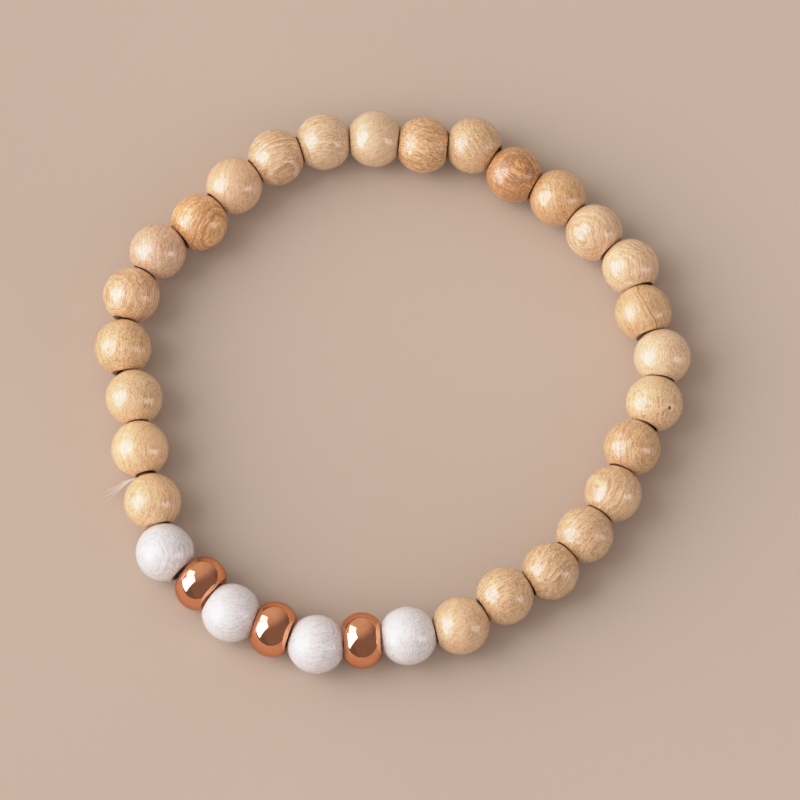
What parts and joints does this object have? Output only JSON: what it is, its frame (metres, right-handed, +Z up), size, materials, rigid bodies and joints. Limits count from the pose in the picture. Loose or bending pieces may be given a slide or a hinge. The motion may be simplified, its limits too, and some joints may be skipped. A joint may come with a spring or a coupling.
{
  "type": "wooden bead bracelet",
  "caption": "Stretch bracelet of round natural wooden beads with a short run of alternating white stained wood and rose gold metal beads on an elastic thread, lying as a loop.",
  "frame": {"origin": "middle of the loop's outline as seen from above, on the surface that it lies on", "axes": "+Z up out of that surface and along the way a wrist goes through, +X to the right and +Y away from the viewer in the picture"},
  "size_m": [0.062, 0.0614, 0.0061],
  "materials": {
    "pale_wood": "pale natural wood, clear semi-gloss varnish over fine grain",
    "honey_wood": "honey natural wood, clear semi-gloss varnish over fine grain",
    "tan_wood": "tan natural wood, clear semi-gloss varnish over fine grain",
    "brown_wood": "brown natural wood, clear semi-gloss varnish over fine grain",
    "white_wood": "white stained wood, satin, with faint grey grain showing through",
    "rose_gold": "polished rose gold plating",
    "elastic": "pale covered elastic thread"
  },
  "bodies": {
    "root": {"wood_bead_01": "honey_wood", "wood_bead_02": "tan_wood", "wood_bead_03": "honey_wood", "wood_bead_04": "honey_wood", "wood_bead_05": "pale_wood", "wood_bead_06": "tan_wood", "wood_bead_07": "pale_wood", "wood_bead_08": "pale_wood", "wood_bead_09": "honey_wood", "wood_bead_10": "pale_wood", "wood_bead_11": "honey_wood", "wood_bead_12": "honey_wood", "wood_bead_13": "brown_wood", "wood_bead_14": "honey_wood", "wood_bead_15": "tan_wood", "wood_bead_16": "pale_wood", "wood_bead_17": "pale_wood", "wood_bead_18": "honey_wood", "wood_bead_19": "pale_wood", "wood_bead_20": "tan_wood", "wood_bead_21": "pale_wood", "wood_bead_22": "honey_wood", "wood_bead_23": "honey_wood", "wood_bead_24": "honey_wood", "wood_bead_25": "honey_wood", "wood_bead_26": "tan_wood", "white_bead_1": "white_wood", "white_bead_2": "white_wood", "white_bead_3": "white_wood", "white_bead_4": "white_wood", "gold_bead_1": "rose_gold", "gold_bead_2": "rose_gold", "gold_bead_3": "rose_gold", "elastic_thread": "elastic", "thread_knot": "elastic", "thread_tail": "elastic"}
  },
  "joints": []
}
